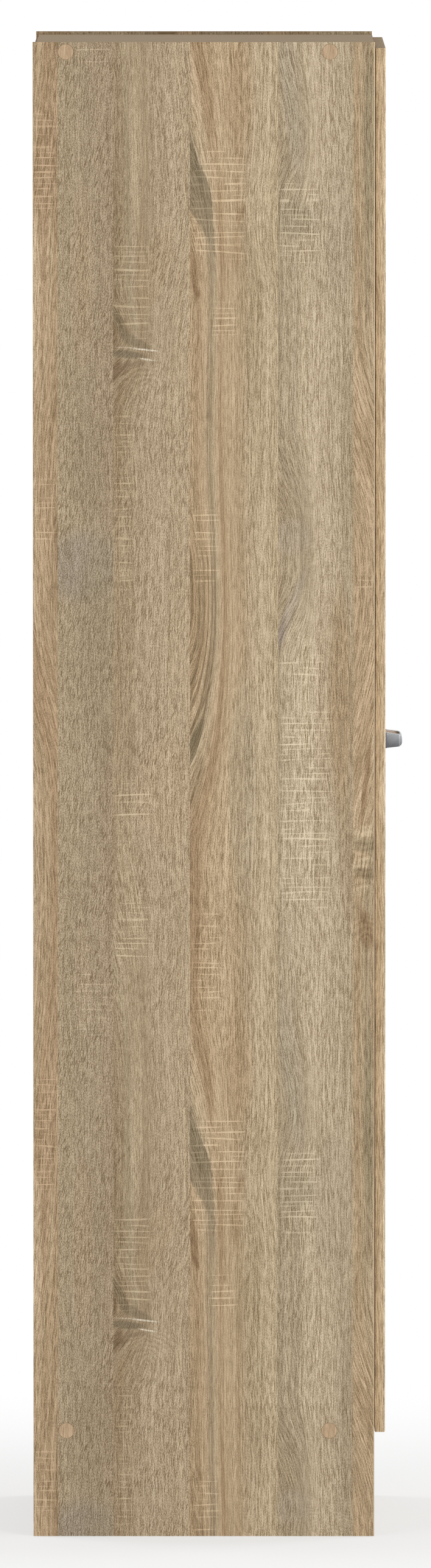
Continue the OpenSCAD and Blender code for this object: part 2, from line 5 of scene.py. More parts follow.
import bpy
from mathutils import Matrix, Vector


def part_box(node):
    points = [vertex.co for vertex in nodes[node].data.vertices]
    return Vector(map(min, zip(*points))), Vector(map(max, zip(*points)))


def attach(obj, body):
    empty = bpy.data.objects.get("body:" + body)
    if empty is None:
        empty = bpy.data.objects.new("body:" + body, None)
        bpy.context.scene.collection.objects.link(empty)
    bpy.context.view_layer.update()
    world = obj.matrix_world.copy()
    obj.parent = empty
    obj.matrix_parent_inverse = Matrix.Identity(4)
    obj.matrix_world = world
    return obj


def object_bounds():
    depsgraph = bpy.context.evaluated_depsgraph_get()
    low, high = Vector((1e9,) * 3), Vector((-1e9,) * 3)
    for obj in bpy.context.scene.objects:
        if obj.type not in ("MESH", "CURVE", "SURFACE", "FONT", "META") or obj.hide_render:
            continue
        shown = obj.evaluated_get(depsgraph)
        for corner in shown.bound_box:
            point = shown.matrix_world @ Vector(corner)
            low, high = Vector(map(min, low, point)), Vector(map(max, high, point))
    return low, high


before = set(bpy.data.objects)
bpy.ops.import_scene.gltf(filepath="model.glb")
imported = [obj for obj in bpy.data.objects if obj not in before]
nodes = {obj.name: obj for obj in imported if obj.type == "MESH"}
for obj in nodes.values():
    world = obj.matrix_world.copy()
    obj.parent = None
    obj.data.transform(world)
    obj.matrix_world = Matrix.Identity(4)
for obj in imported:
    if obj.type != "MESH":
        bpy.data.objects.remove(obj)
cad_box = [list(corner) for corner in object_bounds()]

# ---- Sides ---------------------------------------------------------------------------------
# Two upright boards of chipboard, faced on both sides with a melamine paper printed as sawn
# oak planks set edge to edge. The print comes off a roller, so it starts again after a while.

MM = 0.001
ROLLER = 1300          # length of the print before it starts again, in mm
SHEET = 800            # width of the part of the sheet that is used
STEPS = 16             # most planks that one ramp of numbers can tell apart
back_edge = cad_box[1][1] / MM
half_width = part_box("left_side")[0][0] / -MM


class Wire:
    """A socket of a node tree. Arithmetic on it adds Math nodes."""

    def __init__(self, tree, socket):
        self.tree = tree
        self.socket = socket

    def math(self, operation, *others):
        values = dict(enumerate((self,) + others))
        return self.tree.node("ShaderNodeMath", {"operation": operation}, values)

    def __add__(self, other):
        return self.math("ADD", other)

    def __mul__(self, other):
        return self.math("MULTIPLY", other)

    def __sub__(self, other):
        return self.math("SUBTRACT", other)

    def __truediv__(self, other):
        return self.math("DIVIDE", other)

    def __rsub__(self, other):
        return self.math("MULTIPLY_ADD", -1.0, other)

    def __rtruediv__(self, other):
        return self.math("POWER", -1.0) * other

    __radd__ = __add__
    __rmul__ = __mul__

    def size(self):
        return self.math("ABSOLUTE")

    def rise(self, low, high):
        """0 before low, 1 past high and a smooth climb between them."""
        settings = {"interpolation_type": "SMOOTHSTEP", "clamp": False}
        return self.tree.node("ShaderNodeMapRange", settings, {0: self, 1: low, 2: high})


class Tree:
    """A node tree in the making."""

    def __init__(self, tree):
        self.tree = tree

    def node(self, kind, settings, values, output=0):
        """Makes a node and gives back one of its outputs, if it has any."""
        made = self.tree.nodes.new(kind)
        for key, value in settings.items():
            if key == "steps":
                made.color_ramp.interpolation = "CONSTANT"
            elif key == "stops":
                ramp = made.color_ramp
                while len(ramp.elements) < len(value):
                    ramp.elements.new(1.0)
                for element, (spot, colour) in zip(ramp.elements, value):
                    element.position = spot
                    element.color = colour
            else:
                setattr(made, key, value)
        for key, value in values.items():
            self.feed(made.inputs[key], value)
        if made.outputs:
            return Wire(self, made.outputs[output])
        return None

    def feed(self, socket, value):
        """Links a wire to a socket, or sets its value."""
        if isinstance(value, Wire):
            self.tree.links.new(value.socket, socket)
        else:
            socket.default_value = value

    def named(self, kind):
        """All the outputs of a new node, by name."""
        made = self.node(kind, {}, {})
        return {out.name: Wire(self, out) for out in made.socket.node.outputs}

    def parts(self, vector):
        """A vector's x, y and z."""
        made = self.node("ShaderNodeSeparateXYZ", {}, {0: vector})
        return [Wire(self, out) for out in made.socket.node.outputs]

    def noise(self, x, y, detail=1.0):
        """Smooth noise, most of it from -1 to 1, in patches about 1 across."""
        spot = self.node("ShaderNodeCombineXYZ", {}, {0: x, 1: y})
        spot = self.node("ShaderNodeVectorRotate", {"rotation_type": "Z_AXIS"}, {
            "Vector": spot, "Angle": 0.6})
        made = self.node("ShaderNodeTexNoise", {"noise_dimensions": "2D"}, {
            "Vector": spot, "Scale": 1.0, "Detail": detail - 1.0})
        return made * 4.0 - 2.0

    def blend(self, first, second, amount):
        """Colour first where amount is 0 and second where it is 1."""
        settings = {"data_type": "RGBA", "clamp_factor": True}
        return self.node("ShaderNodeMix", settings, {0: amount, 6: first, 7: second}, output=2)

    def tinted(self, first, second):
        """One colour multiplied by another."""
        return self.node(
            "ShaderNodeVectorMath", {"operation": "MULTIPLY"}, {0: first, 1: second})

    def banded(self, bands, spot):
        """The colour at a spot, in mm, of bands given as place, red, green and blue."""
        low, high = bands[0][0], bands[-1][0]
        stops = [((place - low) / (high - low), paint(*rgb)) for place, *rgb in bands]
        return self.node("ShaderNodeValToRGB", {"stops": stops}, {
            0: (spot - low) / (high - low)})


class Finish(Tree):
    """A material in the making."""

    def __init__(self, name):
        self.material = bpy.data.materials.new(name)
        self.material.use_nodes = True
        super().__init__(self.material.node_tree)
        self.surface = self.tree.nodes["Principled BSDF"]

    def place(self):
        """Where a point is on the cabinet, in mm."""
        spot = self.node("ShaderNodeTexCoord", {}, {}, output=3)
        return [part / MM for part in self.parts(spot)]

    def facing(self):
        """Which way a face looks, along x, y and z."""
        return self.parts(self.node("ShaderNodeTexCoord", {}, {}, output=1))

    def coat(self, colour, roughness, relief=None, depth=0.0, **fixed):
        """Sets the colour, the roughness and the relief, whose depth is in mm."""
        self.feed(self.surface.inputs["Base Color"], colour)
        self.feed(self.surface.inputs["Roughness"], roughness)
        for key, value in fixed.items():
            self.surface.inputs[key.replace("_", " ")].default_value = value
        if relief is not None:
            normal = self.node("ShaderNodeBump", {}, {
                "Strength": 1.0, "Distance": depth * MM, "Height": relief})
            self.feed(self.surface.inputs["Normal"], normal)
        return self


def paint(red, green, blue):
    """A colour as it looks on a screen, 0 to 255, turned into the shader's numbers."""
    return tuple((level / 255) ** 2.2 for level in (red, green, blue)) + (1.0,)


def dress(finish, *names):
    """Gives a finish to pieces, by name."""
    for name in names:
        for slot in nodes[name].material_slots:
            slot.material = finish.material


# Planks of the sheet from its left edge: where each starts, its share of dark pores and how
# far they lean, how strong its pale hairs are, and the colours of its bands. A band's place is
# counted from the plank's edge where the grain stands straight.
PLANKS = [
    (0, 0.25, 0.00, 1.0, [
        (0, 178, 157, 128), (4, 175, 152, 123), (10, 171, 148, 118), (16, 165, 142, 111),
        (21, 170, 147, 117), (27, 160, 134, 103), (33, 165, 140, 110), (45, 168, 142, 112),
        (52, 179, 157, 126), (58, 164, 139, 108), (64, 171, 147, 117), (70, 161, 136, 106),
        (76, 172, 148, 118), (82, 154, 130, 100)]),
    (33, 1.30, 0.20, 0.3, [
        (-6, 172, 154, 127), (4, 167, 149, 122), (40, 164, 146, 120), (74, 160, 141, 115)]),
    (107, 0.90, 0.20, 0.6, [
        (-55, 152, 132, 104), (-49, 158, 139, 111), (-45, 153, 133, 105), (-36, 164, 146, 118),
        (-30, 158, 140, 112), (-22, 168, 150, 123), (-10, 162, 142, 114), (0, 153, 132, 104),
        (4, 162, 142, 114), (8, 155, 134, 106), (14, 164, 145, 117), (20, 159, 139, 111),
        (28, 166, 147, 119), (42, 171, 152, 125), (55, 175, 156, 129), (75, 174, 154, 126),
        (95, 177, 157, 129), (102, 173, 152, 124)]),
    (209.5, 0.50, 0.06, 0.9, [
        (-90, 162, 138, 107), (-82, 174, 151, 120), (-76, 162, 138, 107), (-64, 178, 154, 122),
        (-50, 182, 159, 129), (-43, 158, 137, 108), (-40, 172, 152, 123), (-36, 152, 132, 104),
        (-30, 160, 142, 115), (-26, 178, 157, 127), (-14, 181, 159, 129), (-4, 178, 154, 123),
        (1, 160, 134, 103), (7, 164, 139, 107), (12, 156, 130, 99), (14, 178, 154, 121),
        (22, 173, 149, 118), (30, 182, 160, 128), (36, 177, 154, 123), (46, 185, 163, 132),
        (52, 178, 155, 124), (60, 172, 149, 118), (75, 172, 151, 122), (86, 180, 160, 131),
        (100, 184, 165, 136), (117, 178, 159, 129)]),
    (327, 0.60, 0.05, 0.7, [
        (-35, 163, 145, 118), (-20, 157, 139, 112), (-12, 166, 148, 121), (0, 156, 139, 113),
        (4, 166, 149, 122), (11, 174, 157, 130), (16, 166, 148, 121), (21, 176, 159, 133),
        (26, 170, 153, 126), (34, 184, 166, 138), (48, 187, 169, 142), (68, 182, 164, 137),
        (84, 177, 160, 133), (100, 172, 154, 127)]),
    (427.5, 0.25, 0.00, 1.0, [
        (-82, 172, 148, 117), (-60, 168, 145, 115), (-45, 182, 158, 127), (-28, 164, 140, 109),
        (-14, 186, 162, 131), (-5, 174, 151, 120), (0, 172, 149, 118), (7, 164, 141, 111),
        (12, 170, 149, 119), (18, 156, 137, 109), (23, 162, 143, 115), (29, 168, 144, 113)]),
    (457.5, 1.10, 0.16, 0.4, [
        (-6, 170, 151, 124), (30, 160, 142, 115), (60, 166, 148, 121), (88, 158, 139, 112)]),
    (545, 0.30, 0.05, 1.0, [
        (-40, 168, 144, 113), (-20, 180, 157, 126), (0, 164, 140, 110), (12, 178, 155, 124),
        (24, 168, 144, 114), (40, 182, 160, 130), (60, 172, 149, 119)]),
    (605, 0.65, 0.15, 0.7, [
        (-40, 158, 138, 110), (-15, 170, 150, 122), (0, 160, 141, 114), (14, 172, 153, 126),
        (40, 180, 161, 133), (80, 176, 157, 129), (112, 184, 165, 137)]),
    (717, 0.35, 0.00, 1.0, [
        (-30, 174, 150, 120), (0, 168, 144, 114), (20, 178, 156, 126), (42, 166, 142, 111),
        (62, 176, 154, 124), (83, 162, 138, 107)]),
]

# Where the grain of a plank swings aside: the plank, the place across up to which all of it
# swings and the place where none does, the four places along between which it swings out,
# stays, and swings back, and how far it goes.
SWINGS = [
    (0, 40, 50, (1000, 1250, 1262, 2290), -48),
    (2, 118, 160, (1540, 1625, 1880, 2260), 55),
    (2, 150, 122, (1850, 2000, 2010, 2150), -10),
    (2, 112, 205, (1480, 1590, 1592, 1680), 34),
    (2, 150, 125, (1550, 1800, 1900, 2300), 22),
    (3, 214, 285, (900, 1230, 1660, 2052), 85),
    (3, 235, 285, (1120, 1260, 1280, 1440), 14),
    (3, 330, 240, (1650, 1770, 1780, 1880), -9),
    (4, 350, 385, (1180, 1290, 1340, 1500), 38),
    (4, 352, 385, (1770, 1870, 1880, 2010), 20),
    (5, 460, 470, (800, 1290, 1300, 1650), 80),
    (6, 520, 555, (300, 520, 700, 900), 40),
    (7, 560, 620, (800, 1000, 1100, 1400), -40),
    (8, 640, 700, (150, 450, 500, 900), 60),
    (9, 760, 810, (500, 700, 900, 1300), -50),
]

# Patches of another colour: the plank, the middle across and along, half width, half length,
# the turn clockwise in degrees, the colour and its strength.
PATCHES = [
    (0, 29, 1810, 6, 110, 0, (146, 119, 90), 0.50),
    (0, 29, 1310, 5, 90, 0, (140, 115, 87), 0.55),
    (0, 16, 1130, 26, 130, -14, (158, 131, 99), 0.40),
    (0, 14, 1300, 18, 60, 0, (186, 162, 130), 0.30),
    (0, 3, 1660, 10, 150, 0, (192, 170, 139), 0.75),
    (0, 19, 1630, 7, 60, 0, (162, 138, 107), 0.45),
    (1, 66, 750, 13, 100, 0, (176, 157, 130), 0.55),
    (1, 68, 1300, 60, 60, 0, (150, 138, 121), 0.75),
    (1, 90, 1190, 40, 190, 0, (152, 136, 109), 0.50),
    (1, 66, 1690, 16, 140, 0, (170, 145, 114), 0.35),
    (1, 78, 1430, 34, 90, 0, (142, 124, 98), 0.30),
    (2, 138, 1880, 11, 170, 0, (184, 165, 136), 0.65),
    (2, 126, 840, 24, 210, 0, (182, 163, 134), 0.50),
    (2, 110, 1740, 11, 110, 0, (138, 120, 91), 0.50),
    (2, 108, 1612, 6, 24, 0, (122, 100, 73), 0.90),
    (2, 117, 1622, 8, 34, -24, (122, 106, 80), 0.85),
    (2, 136, 1601, 8, 30, -62, (130, 114, 90), 0.75),
    (2, 124, 1584, 32, 6.5, 5, (122, 108, 86), 0.85),
    (2, 111, 1562, 8, 22, 18, (118, 96, 70), 0.90),
    (2, 123, 1566, 7, 17, 36, (128, 106, 80), 0.75),
    (2, 137, 1571, 20, 4, -8, (134, 116, 92), 0.55),
    (2, 115, 1480, 11, 110, 0, (140, 118, 89), 0.40),
    (2, 150, 1590, 23, 1.5, 6, (216, 204, 184), 0.90),
    (2, 152, 1577, 15, 1.5, 9, (212, 200, 180), 0.85),
    (2, 124, 1593, 20, 1.3, 2, (196, 180, 156), 0.60),
    (2, 172, 1000, 50, 90, 0, (181, 156, 128), 0.35),
    (2, 165, 1700, 24, 80, 15, (166, 142, 112), 0.40),
    (3, 245, 1850, 8, 80, 0, (188, 165, 133), 0.65),
    (3, 257, 1540, 8, 190, 0, (184, 162, 130), 0.55),
    (3, 270, 1722, 9, 36, 0, (156, 132, 100), 0.65),
    (3, 298, 1530, 15, 210, 0, (164, 146, 116), 0.55),
    (3, 218, 1008, 10, 56, 8, (146, 124, 95), 0.65),
    (3, 215, 1150, 3, 50, 10, (124, 102, 74), 0.75),
    (3, 224, 1112, 3.5, 46, 22, (126, 106, 78), 0.75),
    (3, 233, 1160, 3, 44, 8, (140, 118, 90), 0.60),
    (3, 214, 1692, 7, 44, -6, (142, 116, 86), 0.90),
    (3, 218, 1668, 4, 12, -20, (132, 104, 76), 0.80),
    (3, 217, 1600, 10, 70, 0, (164, 138, 108), 0.35),
    (3, 272, 1930, 26, 100, 0, (168, 143, 111), 0.55),
    (3, 277, 1772, 6, 18, 20, (142, 116, 86), 0.60),
    (3, 281, 1000, 24, 190, 0, (168, 153, 127), 0.50),
    (3, 215, 850, 12, 170, 0, (150, 124, 94), 0.70),
    (3, 288, 1660, 22, 110, 6, (165, 146, 115), 0.45),
    (3, 214, 1062, 8, 46, 20, (104, 93, 68), 0.90),
    (4, 345, 1920, 14, 130, -6, (168, 156, 137), 0.40),
    (4, 350, 1765, 36, 34, 0, (156, 142, 116), 0.60),
    (4, 402, 1745, 40, 120, 0, (165, 149, 124), 0.40),
    (4, 342, 1238, 9, 74, 20, (139, 126, 115), 0.80),
    (4, 346, 1340, 30, 30, 0, (168, 154, 136), 0.40),
    (4, 352, 1130, 24, 240, 0, (194, 177, 148), 0.45),
    (4, 390, 1130, 14, 160, 0, (168, 147, 118), 0.45),
    (4, 411, 1120, 20, 200, 0, (158, 132, 100), 0.65),
    (4, 420, 1420, 12, 240, 0, (154, 137, 110), 0.45),
    (4, 352, 930, 30, 240, 0, (195, 179, 151), 0.40),
    (4, 384, 950, 14, 120, 0, (170, 152, 124), 0.45),
    (4, 420, 910, 15, 120, 0, (158, 137, 108), 0.55),
    (5, 450, 1600, 9, 90, 0, (184, 162, 132), 0.55),
    (5, 450, 1468, 9, 60, 0, (156, 133, 103), 0.55),
    (5, 450, 1860, 10, 160, 0, (143, 129, 101), 0.60),
    (5, 444, 1010, 5, 70, 6, (138, 110, 80), 0.75),
    (5, 443, 945, 30, 10, -14, (200, 181, 150), 0.40),
    (5, 443, 928, 26, 12, 12, (140, 124, 97), 0.70),
    (5, 443, 905, 30, 8, -20, (200, 181, 150), 0.40),
    (5, 446, 889, 26, 9, 16, (136, 118, 90), 0.70),
    (5, 440, 868, 16, 8, -34, (196, 176, 144), 0.45),
    (5, 445, 815, 12, 34, -8, (138, 112, 82), 0.75),
]

# Nested arches where the rings turn over: the plank, the middle across and along, half width,
# height, how far the legs hang down, how flat the arches are, their spacing and strength.
ARCHES = [
    (2, 151, 1532, 42, 46, 100, 0.9, 6.2, 0.13),
    (5, 443, 868, 24, 100, 30, 0.40, 9.0, 0.15),
    (5, 445, 800, 22, 34, 60, 0.9, 8.0, 0.16),
    (4, 395, 1290, 42, 60, 40, 0.5, 5.0, 0.07),
    (8, 662, 330, 44, 60, 120, 1.0, 7.0, 0.14),
]

# Patches of saw marks: left and right edge, lower and upper end, and strength.
SAW_MARKS = [
    (0, 33, 1768, 1916, 0.8), (0, 33, 1332, 1414, 0.6), (53, 107, 670, 758, 0.4),
    (107, 157, 1608, 1729, 0.9), (107, 135, 1273, 1502, 0.5), (105, 161, 965, 1010, 0.7),
    (107, 161, 774, 860, 0.5), (210, 285, 1713, 1860, 0.9), (234, 275, 1608, 1650, 0.8),
    (213, 249, 1280, 1378, 0.8), (210, 252, 706, 837, 0.7), (327, 383, 1711, 1811, 1.0),
    (327, 400, 843, 1106, 0.6), (327, 393, 1149, 1178, 0.5), (427, 457, 1268, 1285, 0.6),
    (480, 540, 200, 330, 0.7), (560, 604, 640, 800, 0.7), (640, 716, 930, 1080, 0.7),
    (735, 790, 350, 470, 0.7),
]


def oak_print(tree, across, along):
    """The colour of the oak print at a place on the sheet, in mm."""
    across = across.math("WRAP", SHEET, 0.0)
    starts, pore_shares, leans, hair_strengths, band_lists = zip(*PLANKS)
    plank = 0.0
    for start in starts[1:]:
        plank = across.math("GREATER_THAN", start) + plank

    def by_plank(values):
        """A number that each plank has its own of."""
        top = max(values)
        stops = [
            ((index - 0.5) / STEPS, (value / top,) * 3 + (1.0,))
            for index, value in enumerate(values)]
        stops[0] = (0.0, stops[0][1])
        step = tree.node(
            "ShaderNodeValToRGB", {"stops": stops, "steps": True}, {0: plank / STEPS})
        return tree.parts(step)[0] * top

    def on(index):
        """1 on a plank and 0 off it."""
        return plank.math("COMPARE", index, 0.5)

    def turned(start):
        """Distance along past a place, as the roller turns."""
        return (along - start).math("WRAP", ROLLER, 0.0)

    def near(spot):
        """Distance along from a place, the short way round the roller."""
        return (along - spot).math("WRAP", ROLLER / 2, -ROLLER / 2)

    # How far a place is from its plank's edge, counted along the rings.
    pores = by_plank(pore_shares)
    lean = by_plank(leans)
    hairs = by_plank(hair_strengths)
    ring = across - by_plank(starts)
    for index, full, none, (out, stay, leave, back), amount in SWINGS:
        gone = turned(out)
        swing = gone.rise(0.0, stay - out) - gone.rise(leave - out, back - out)
        ring = ring - swing * across.rise(none, full) * on(index) * amount
    own = plank * 37.0
    ring = ring + tree.noise(across / 120.0 + own, along / 260.0) * 3.0

    colour = None
    for index, bands in enumerate(band_lists):
        own_colour = tree.banded(bands, ring)
        colour = own_colour if colour is None else tree.blend(colour, own_colour, on(index))

    for index, a, s, half_a, half_s, slope, shade, strength in PATCHES:
        angle = math.radians(slope)
        x, y = across - a, near(s)
        x, y = (
            x * (math.cos(angle) / half_a) - y * (math.sin(angle) / half_a),
            x * (math.sin(angle) / half_s) + y * (math.cos(angle) / half_s))
        spot = (1 - (x * x + y * y)).rise(0.0, 0.8) * on(index)
        colour = tree.blend(colour, paint(*shade), spot * strength)

    # The dark flame in the fourth plank, a leaf shape with a tail, and the dark arcs below it.
    past = near(1790)
    right = past.rise(95.0, -5.0) * 29.0 + past.rise(20.0, -90.0) * 4.5 + 209.5
    left = past.rise(5.0, -68.0) * 31.0 + 205.0
    ragged = tree.noise(across / 3.0, along / 9.0) * 0.9
    flame = (right - across + ragged).rise(-1.2, 1.2) * (across - left + ragged).rise(-1.5, 1.5)
    flame = flame * past.rise(-150.0, -60.0) * (past.rise(-60.0, 30.0) * 0.35 + 0.55) * on(3)
    colour = tree.blend(colour, paint(125, 111, 87), flame)
    vein = (ring + 30.5).size().rise(1.6, 0.2) * past.rise(-125.0, -75.0)
    vein = vein * past.rise(112.0, 90.0) * on(3)
    past = near(1190)
    arc = ((ring + 2.0) / 6.4).math("PINGPONG", 1.0).rise(0.40, 0.90)
    arc = arc * past.rise(-165.0, -120.0) * past.rise(165.0, 90.0) * ring.rise(-29.0, -34.0)
    colour = tree.blend(colour, paint(122, 102, 74), arc * on(3) * 0.75)

    # Fibres, streaks, pores and pale hairs, all much longer along the plank than across it.
    fleck = tree.noise((ring + own) / 0.8, along / 2.1)
    fibre = tree.noise((ring + own) / 1.15, along / 15.0)
    streak = tree.noise((ring + own) / 2.4, along / 80.0)
    broad = tree.noise((ring + own) / 6.0, along / 300.0)
    cloud = tree.noise(across / 40.0 + own, along / 60.0, 2.0)
    tick = tree.noise((ring + own - along * lean) / 1.1, along / 12.0)
    pore = tick.rise(0.40, 0.75) * pores * (cloud * 0.6 + 0.7)
    hair = tree.noise((ring + own) / 2.2 + 50.0, along / 180.0).rise(0.45, 1.0) * hairs

    arch = 0.0
    shake = tree.noise(across / 11.0 + own, along / 14.0, 2.0)
    for index, a, s, half_a, half_s, legs, flat, spacing, strength in ARCHES:
        x = (across - a).size()
        y = near(s)
        over = y.math("MAXIMUM", 0.0)
        bow = ((x * x) * flat * flat + over * over).math("SQRT") + shake * 2.2
        line = (bow / spacing).math("PINGPONG", 0.5) * 4.0 - 1.0
        here = x.rise(half_a, half_a * 0.7) * y.rise(half_s, half_s * 0.7) * y.rise(-legs, 0.0)
        arch = line * here * on(index) * strength + arch

    saw = None
    for left, right, low, high, strength in SAW_MARKS:
        x = (across - (left + right) / 2).size()
        y = near((low + high) / 2).size()
        patch = x.rise((right - left) / 2 + 3, (right - left) / 2 - 14)
        patch = patch * y.rise((high - low) / 2 + 8, (high - low) / 2 - 8) * strength
        saw = patch if saw is None else saw.math("MAXIMUM", patch)
    wander = tree.noise(across / 200.0 + own, along / 20.0, 2.0)
    blade = (along / 8.2 + wander * 0.4).math("PINGPONG", 0.5)
    force = tree.noise(across / 50.0 + own, along / 6.0)
    line = blade.rise(0.14, 0.03) * (force * 0.9 + 0.65 + fibre * 0.25)
    saw_line = line.math("MAXIMUM", 0.0) * saw
    cross_hatch = (fibre.rise(0.1, 0.9) - 0.35) * saw

    value = (
        0.50 + fleck * (pores * 0.12 + 0.19) + fibre * (0.30 - pores * 0.08)
        + streak * (hairs * 0.09 + 0.06) + broad * 0.05 + cloud * 0.025 + arch
        - pore * 0.60 + hair * 0.22 + saw_line * 1.10 + cross_hatch * 0.16 + vein * 0.35)
    shade = tree.blend((0.545, 0.482, 0.376, 1.0), (1.525, 1.56, 1.62, 1.0), value)
    return tree.tinted(colour, shade)


paper = Tree(bpy.data.node_groups.new("oak_paper", "ShaderNodeTree"))
for name in ("Across", "Along"):
    paper.tree.interface.new_socket(name, in_out="INPUT", socket_type="NodeSocketFloat")
paper.tree.interface.new_socket("Colour", in_out="OUTPUT", socket_type="NodeSocketColor")
given = paper.named("NodeGroupInput")
printed = oak_print(paper, given["Across"], given["Along"])
paper.node("NodeGroupOutput", {}, {0: printed})


def chips(finish, x, y, z):
    """Bare chipboard, where a board is cut and not edged."""
    spot = finish.node("ShaderNodeCombineXYZ", {}, {0: x, 1: y, 2: z})
    coarse = finish.node("ShaderNodeTexVoronoi", {}, {"Vector": spot, "Scale": 0.45}, output=1)
    fine = finish.node("ShaderNodeTexVoronoi", {}, {"Vector": spot, "Scale": 1.3}, output=1)
    grain = finish.parts(coarse)[0] * 0.6 + finish.parts(fine)[0] * 0.4
    return finish.blend(paint(128, 98, 64), paint(205, 178, 136), grain)


def shade_from_above(finish, across, along, width):
    """Painted shade on a face that looks up: a darker tone in streaks of a given width."""
    streak = finish.noise(across / width, along / 70.0)
    streak = streak + finish.noise(across / 0.8, along / 9.0) * 0.6
    return finish.blend(paint(157, 136, 108), paint(188, 166, 136), streak * 0.25 + 0.5)


def oak_board(name, across, along, bare=None, top_shade=0.0):
    """A board faced with the print. across and along say how the sheet lies on it, bare which
    of its faces are cut edges, and the last how far its upward faces take a painted shade."""
    finish = Finish(name)
    x, y, z = finish.place()
    facing = finish.facing()
    a, s = across(x, y, z), along(x, y, z)
    colour = finish.node("ShaderNodeGroup", {"node_tree": paper.tree}, {0: a, 1: s})
    # Painted shade: faces that look up take a darker streaked tone.
    up = facing[2].math("GREATER_THAN", 0.5) * top_shade
    if top_shade:
        colour = finish.blend(colour, shade_from_above(finish, x, y, 1.6), up)
    if bare:
        colour = finish.blend(colour, chips(finish, x, y, z), bare(*facing))
    grain = finish.noise(a / 1.1, s / 12.0) + finish.noise(a / 0.8, s / 2.2)
    return finish.coat(
        colour, grain * 0.02 + up * 0.36 + 0.52, grain, 0.03, Specular_IOR_Level=0.3)


def cut_back_and_foot(nx, ny, nz):
    """1 on the faces that look back or down."""
    return ny.math("GREATER_THAN", 0.5) + nz.math("LESS_THAN", -0.5)


dress(oak_board(
    "oak_left_side", lambda x, y, z: back_edge - y, lambda x, y, z: z + (x + half_width),
    cut_back_and_foot, 1.0), "left_side")
dress(oak_board(
    "oak_right_side", lambda x, y, z: y + 520.0, lambda x, y, z: z - (x - half_width) + 400.0,
    cut_back_and_foot, 1.0), "right_side")

# ---- Top, bottom and shelves ---------------------------------------------------------------
# Boards of the same faced chipboard between the sides. The top and bottom are screwed, the
# middle shelf is held by cams and dowels, and four shelves lie loose on pins.


def cut_back(nx, ny, nz):
    """1 on the face that looks back."""
    return ny.math("GREATER_THAN", 0.5)


top_board = oak_board(
    "oak_top", lambda x, y, z: y + z * 0.7 + 300.0, lambda x, y, z: x + z * 0.9, cut_back, 1.0)
dress(top_board, "top_panel")
level_board = oak_board(
    "oak_shelves", lambda x, y, z: y + z * 0.7 + 300.0, lambda x, y, z: x + z * 0.9, cut_back)
dress(level_board, "bottom_panel", "fixed_shelf", "loose_shelf_1", "loose_shelf_2",
      "loose_shelf_3", "loose_shelf_4")

# ---- Plinth --------------------------------------------------------------------------------
# A low board that closes the foot of the cabinet, set a little back under the door. Its
# grain lies level, and its lower edge is left bare.

dress(oak_board(
    "oak_plinth", lambda x, y, z: z + 120.0, lambda x, y, z: x + 640.0,
    lambda nx, ny, nz: nz.math("LESS_THAN", -0.5)), "plinth")

# ---- Door ----------------------------------------------------------------------------------
# One thinner board of the same kind with the grain upright. It closes over the edges of the
# carcass, and shows the print on its front and its back.

dress(oak_board("oak_door", lambda x, y, z: x + 580.0, lambda x, y, z: z + 210.0), "door_panel")

# ---- Edge strips ---------------------------------------------------------------------------
# Thin plastic strips glued on the cut edges that show, 1 mm on the carcass and the shelves and
# 2 mm on the door. They are printed with stripes of the same oak along their length.


def edge_strip(name, across, along, bands, top_shade=0.0, side_light=0.0):
    """A strip whose stripes lie at the places of bands, in mm across it. The last argument says
    how much lighter its faces that look to the side are painted, as painted light against the
    shade by the door."""
    finish = Finish(name)
    x, y, z = finish.place()
    a, s = across(x, y, z), along(x, y, z)
    up = finish.facing()[2].rise(0.55, 0.8) * top_shade
    drift = finish.noise(a / 60.0, s / 180.0) * 1.1 + finish.noise(a / 9.0, s / 60.0) * 0.3
    colour = finish.banded(bands, a + drift)
    fibre = finish.noise((a + drift) / 1.0, s / 14.0)
    fleck = finish.noise(a / 0.7, s / 2.4)
    streak = finish.noise((a + drift) / 1.8, s / 70.0)
    cloud = finish.noise(a / 30.0, s / 90.0)
    value = fibre * 0.26 + fleck * 0.15 + streak * 0.20 + cloud * 0.08 + 0.5
    shade = finish.blend((0.556, 0.492, 0.380, 1.0), (1.555, 1.59, 1.636, 1.0), value)
    colour = finish.tinted(colour, shade)
    # Painted shade: faces that look up take a darker streaked tone.
    if top_shade:
        colour = finish.blend(colour, shade_from_above(finish, y, x, 1.4), up)
    # Painted light: faces that look to the side are painted lighter, against the shade in the gap
    # beside the door.
    if side_light:
        side_light_mask = finish.facing()[0].size().rise(0.55, 0.8) * side_light
        colour = finish.blend(colour, paint(218, 196, 163), side_light_mask)
    return finish.coat(colour, up * 0.4 + 0.48, fibre + fleck, 0.03, Specular_IOR_Level=0.3)


door_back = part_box("door_edging")[1][1] / MM
